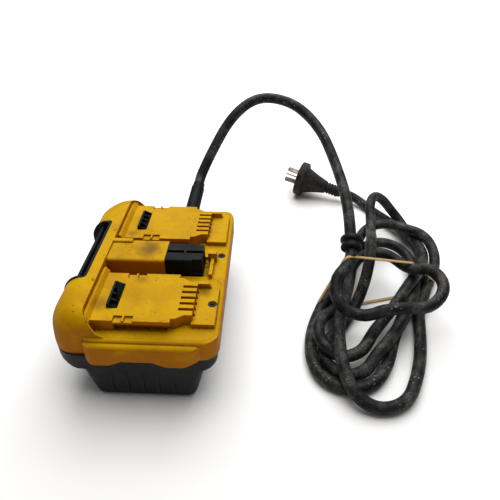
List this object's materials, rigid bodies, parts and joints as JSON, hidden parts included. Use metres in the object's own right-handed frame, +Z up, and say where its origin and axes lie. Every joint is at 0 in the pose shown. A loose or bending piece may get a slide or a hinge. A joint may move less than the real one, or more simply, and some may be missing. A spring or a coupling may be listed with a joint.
{
  "type": "power tool ac adapter",
  "caption": "Mains adapter shaped like side-by-side slide-on tool batteries, with rails, latches worked by a release paddle, a centre power connector and a wound rubber lead with plug.",
  "frame": {"origin": "under the middle of the housing, on the surface that its tub stands on; the lead and plug don't count", "axes": "+X from the release paddle towards the terminals, +Y towards the side that the lead leaves, +Z up"},
  "size_m": [0.3641, 0.4008, 0.159],
  "materials": {
    "yellow_abs": "fine-textured injection-moulded ABS",
    "charcoal_abs": "textured injection-moulded ABS",
    "black_nylon": "satin glass-filled nylon, worn at the edges",
    "zinc_steel": "zinc-plated",
    "black_oxide_steel": "black-oxide screw heads",
    "spring_steel": "drawn spring wire",
    "contact_brass": "stamped",
    "nickel_brass": "worn nickel plating",
    "laminate": "solder mask",
    "capacitor_sleeve": "shrink sleeve",
    "enamelled_copper": "enamelled winding",
    "bare_aluminium": "extruded",
    "epoxy": "moulded epoxy",
    "relay_case": "moulded",
    "ceramic": "glazed ceramic with plated caps",
    "film_case": "moulded",
    "green_polyamide": "moulded",
    "core_insulation": "extruded insulation",
    "rubber_sheath": "dusty extruded rubber",
    "boot_rubber": "moulded rubber",
    "band_rubber": "natural rubber",
    "plug_rubber": "moulded, dusty"
  },
  "bodies": {
    "housing": {"top_housing": "yellow_abs", "front_hood": "yellow_abs", "centre_bar": "yellow_abs", "near_base_plate": "yellow_abs", "far_base_plate": "yellow_abs", "bottom_housing": "charcoal_abs", "near_battery_head": "yellow_abs", "far_battery_head": "yellow_abs", "grip_bezel": "black_nylon", "paddle_pivot_pin": "zinc_steel", "near_return_spring": "spring_steel", "far_return_spring": "spring_steel", "power_connector": "black_nylon", "connector_contacts": "contact_brass", "near_terminal_contacts": "contact_brass", "far_terminal_contacts": "contact_brass", "chassis_plate": "charcoal_abs", "circuit_board": "laminate", "board_screws": "zinc_steel", "bulk_capacitors": "capacitor_sleeve", "filter_choke": "enamelled_copper", "bridge_rectifier": "epoxy", "heat_sink": "bare_aluminium", "power_relay": "relay_case", "line_fuse": "ceramic", "film_capacitor": "film_case", "terminal_block": "green_polyamide", "output_leads": "core_insulation", "supply_cores": "core_insulation", "cord_sheath_end": "rubber_sheath", "cord_clamp": "black_nylon", "clamp_screws": "zinc_steel", "housing_screws": "zinc_steel", "deck_screws": "black_oxide_steel", "strain_relief_boot": "boot_rubber", "cord_lead": "rubber_sheath", "cord_hank": "rubber_sheath", "cord_tail": "rubber_sheath", "cord_collar": "boot_rubber", "hank_band": "band_rubber", "plug_body": "plug_rubber", "plug_blades": "nickel_brass", "plug_earth_blade": "nickel_brass"},
    "release_paddle": {"release_paddle": "black_nylon"},
    "near_latch": {"near_latch": "black_nylon"},
    "far_latch": {"far_latch": "black_nylon"}
  },
  "joints": [
    {"name": "paddle_hinge", "type": "hinge", "parent": "housing", "child": "release_paddle", "pos_m": [-0.052, 0, 0.05], "axis": [0, 1, 0], "range_deg": [0, 7.5], "stiffness_Nm_per_rad": 1, "springref_deg": -4.01, "deforming": ["near_return_spring", "far_return_spring"]},
    {"name": "near_latch_slide", "type": "slide", "parent": "housing", "child": "near_latch", "axis": [0, 0, 1], "range_m": [-0.004, 0]},
    {"name": "far_latch_slide", "type": "slide", "parent": "housing", "child": "far_latch", "axis": [0, 0, 1], "range_m": [-0.004, 0]}
  ],
  "couplings": [
    {"joint": "near_latch_slide", "follows": "paddle_hinge", "m_per_rad": -0.0295},
    {"joint": "far_latch_slide", "follows": "paddle_hinge", "m_per_rad": -0.0295}
  ]
}
